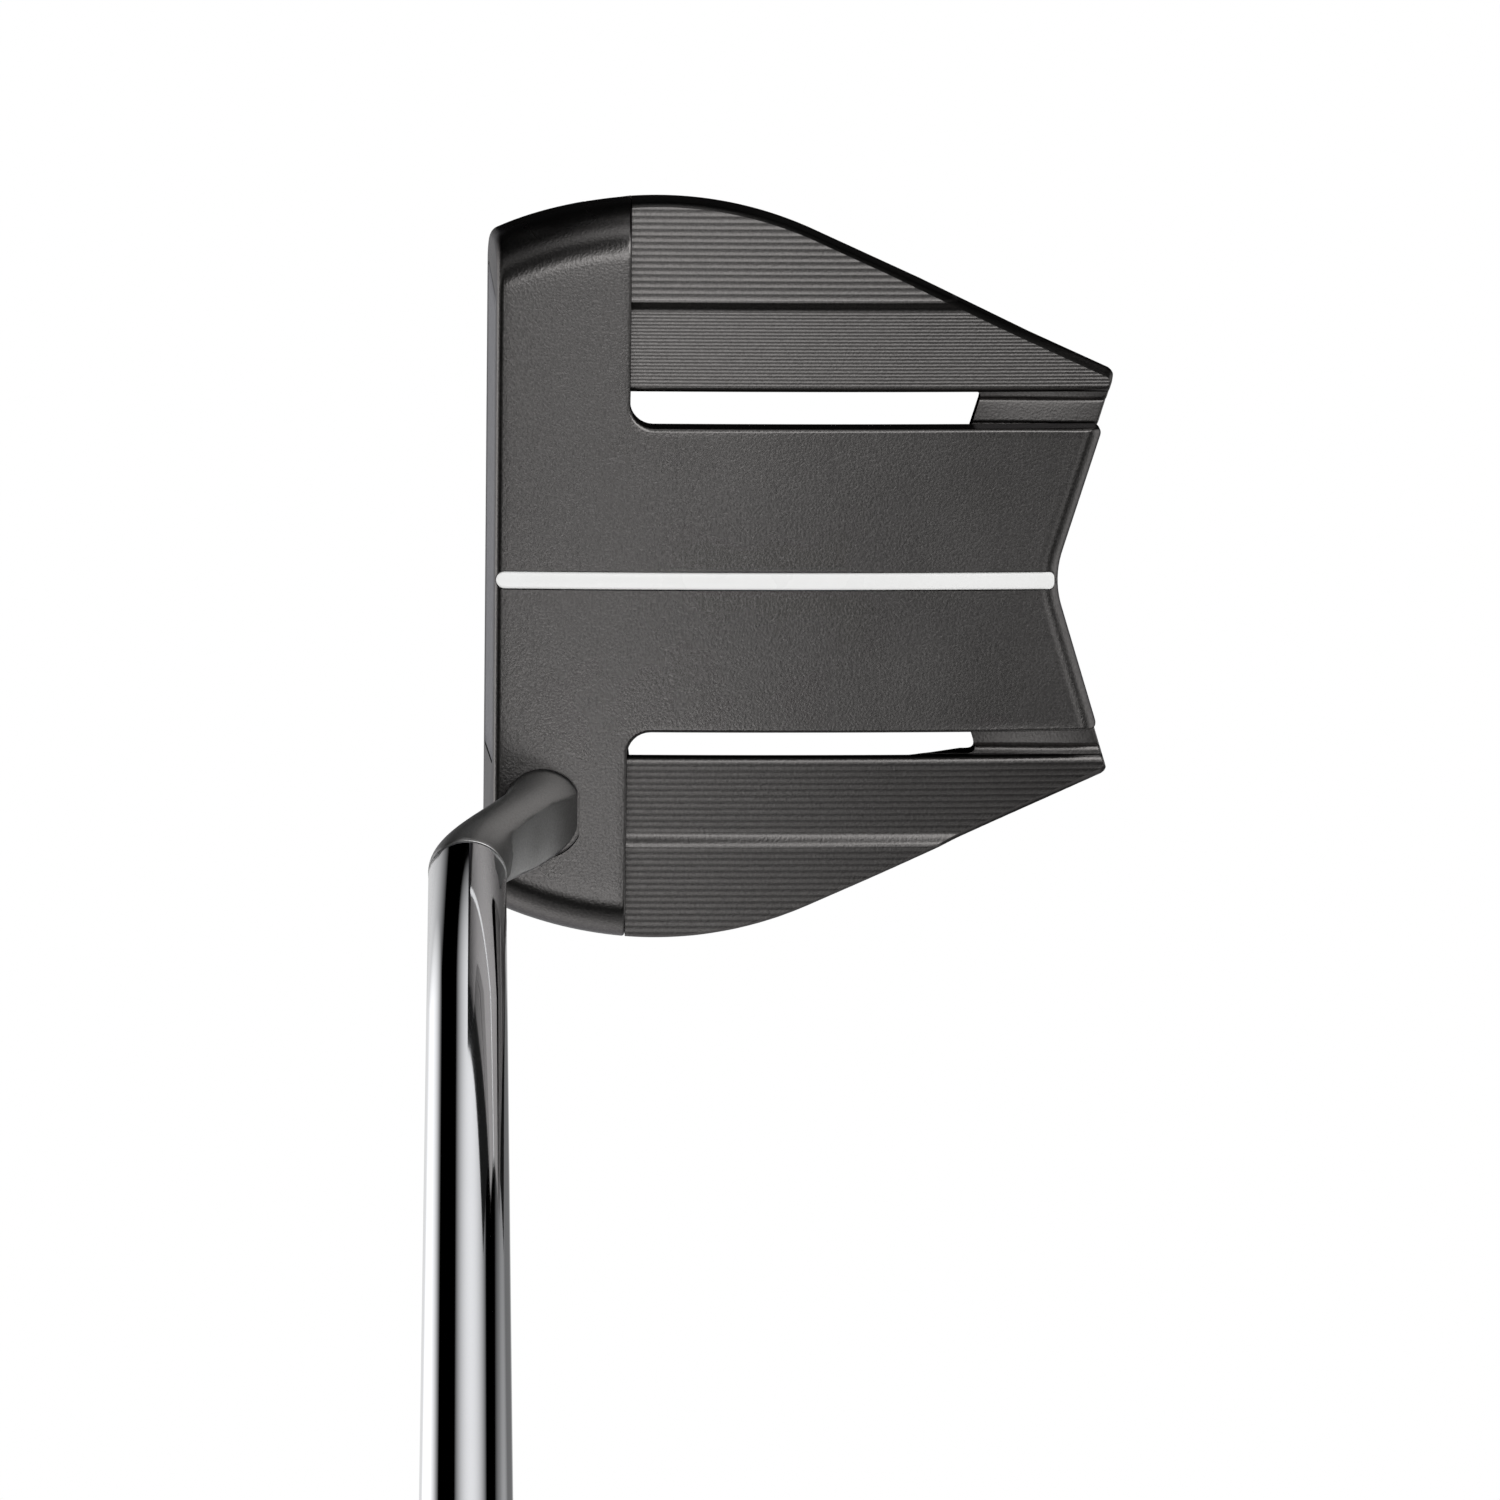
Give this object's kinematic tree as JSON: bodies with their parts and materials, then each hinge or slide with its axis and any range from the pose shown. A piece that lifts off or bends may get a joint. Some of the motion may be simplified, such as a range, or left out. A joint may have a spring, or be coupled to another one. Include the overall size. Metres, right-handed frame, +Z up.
{
  "type": "mallet putter",
  "caption": "Winged mallet putter head with a raised T-shaped crown, slotted wings and a notched back, on a slant neck with a chromed tapered shaft and rubber grip.",
  "frame": {"origin": "middle of the sole plate's flat, on the ground", "axes": "+X towards the heel and the player, -Y towards the target, +Z up with the club soled at address"},
  "size_m": [0.3779, 0.0981, 0.8391],
  "materials": {
    "block_alloy": "fine bead-blasted dark coating",
    "frame_alloy": "finely milled dark coating",
    "sole_steel": "fine bead-blasted dark coating",
    "insert_alloy": "deep milled, satin",
    "line_enamel": "smooth filled enamel",
    "neck_steel": "fine bead-blasted dark coating",
    "shaft_chrome": "polished chrome plate",
    "screw_steel": "black oxide",
    "weight_metal": "turned, satin",
    "grip_rubber": "matte with a fine pattern",
    "seal_rubber": "matte",
    "tape_paper": "creped paper"
  },
  "bodies": {
    "root": {"striking_block": "block_alloy", "wing_frame": "frame_alloy", "face_insert": "insert_alloy", "insert_pad": "seal_rubber", "alignment_line": "line_enamel", "neck": "neck_steel", "neck_bolt": "screw_steel", "sole_plate": "sole_steel", "sole_screw_1": "screw_steel", "sole_screw_2": "screw_steel", "sole_screw_3": "screw_steel", "sole_screw_4": "screw_steel", "crown_screw_1": "screw_steel", "crown_screw_2": "screw_steel", "crown_screw_3": "screw_steel", "bar_screw_toe": "screw_steel", "bar_screw_heel": "screw_steel", "sole_weight_toe": "weight_metal", "sole_weight_heel": "weight_metal", "weight_washer_toe": "seal_rubber", "weight_washer_heel": "seal_rubber", "shaft": "shaft_chrome", "grip_tape": "tape_paper", "grip": "grip_rubber", "grip_end_cap": "grip_rubber"}
  },
  "joints": []
}
